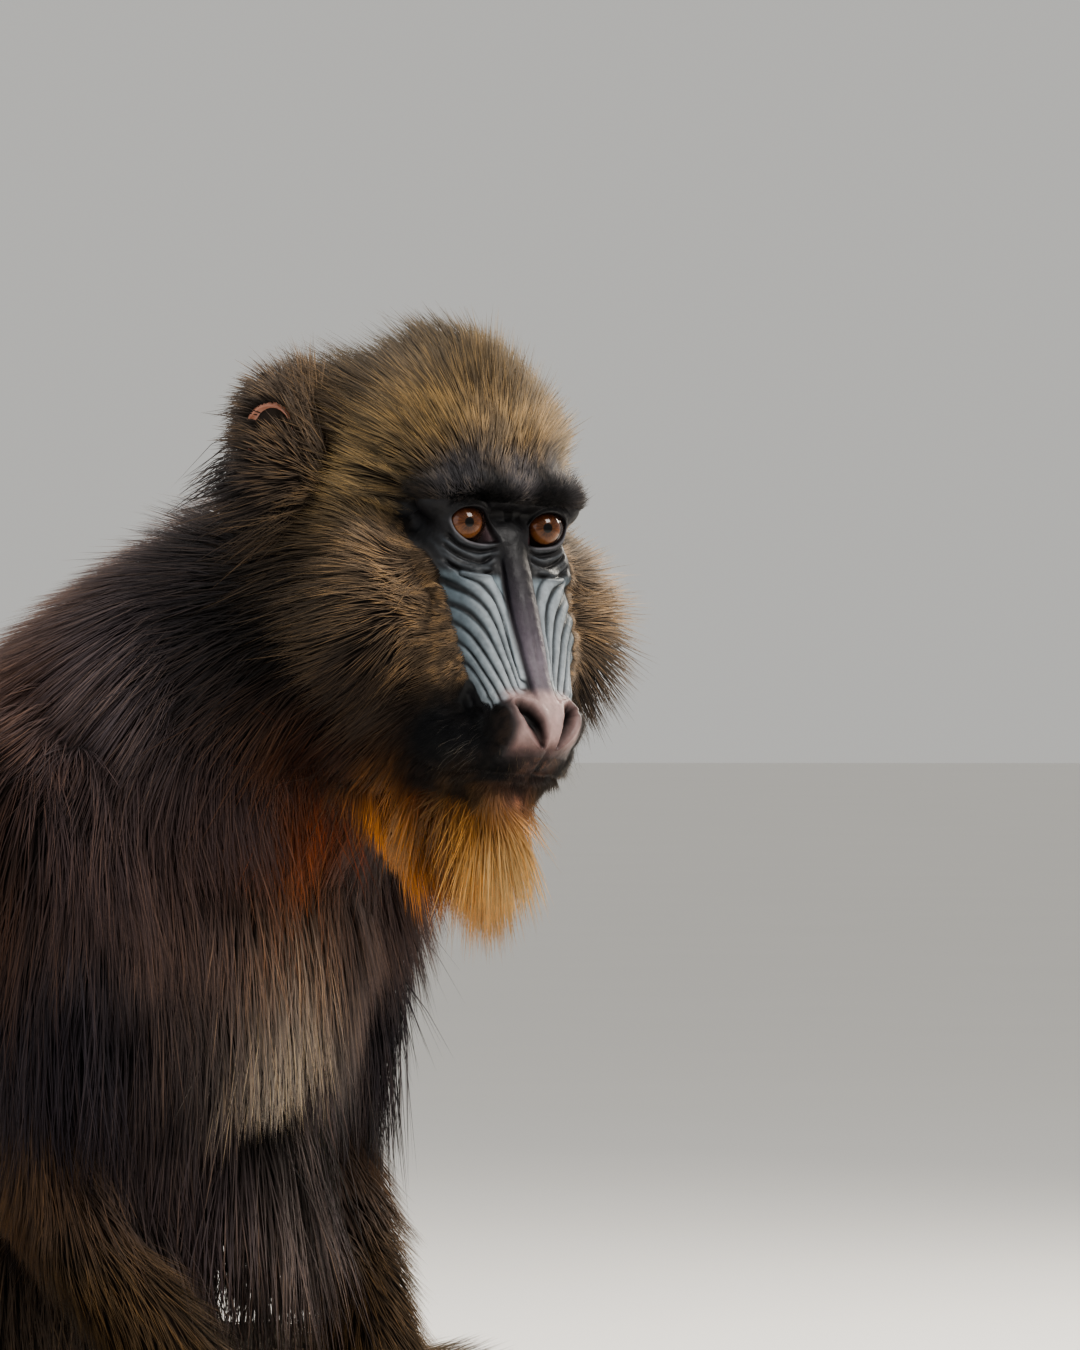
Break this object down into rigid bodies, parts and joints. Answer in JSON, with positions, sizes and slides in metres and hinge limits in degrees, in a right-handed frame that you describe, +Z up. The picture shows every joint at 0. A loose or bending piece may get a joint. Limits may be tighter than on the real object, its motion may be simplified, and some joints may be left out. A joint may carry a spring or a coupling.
{
  "type": "mandrill",
  "caption": "Life-size sitting mandrill with ruffed head turned to its right, blue ridged muzzle, orange beard and hands on the floor.",
  "frame": {"origin": "on the floor under the middle of the animal's bounding box", "axes": "+Z up, the animal's body faces -Y and its left side is at +X"},
  "size_m": [0.4226, 0.4893, 0.5203],
  "materials": {
    "coat": "matte",
    "dark_coat": "matte",
    "beard": "matte",
    "face_skin": "satin",
    "black_skin": "satin",
    "ear_skin": "satin",
    "eye": "gloss"
  },
  "bodies": {
    "root": {"abdomen": "coat", "beard": "beard", "chest": "coat", "ear_left": "ear_skin", "ear_right": "ear_skin", "eye_left": "eye", "eye_right": "eye", "foot_left": "black_skin", "foot_right": "black_skin", "forearm_left": "coat", "forearm_right": "coat", "hand_left": "black_skin", "hand_right": "black_skin", "head": "coat", "jaw": "black_skin", "muzzle": "face_skin", "neck": "dark_coat", "shank_left": "coat", "shank_right": "coat", "tail": "coat", "thigh_left": "coat", "thigh_right": "coat", "upper_arm_left": "coat", "upper_arm_right": "coat"}
  },
  "joints": []
}
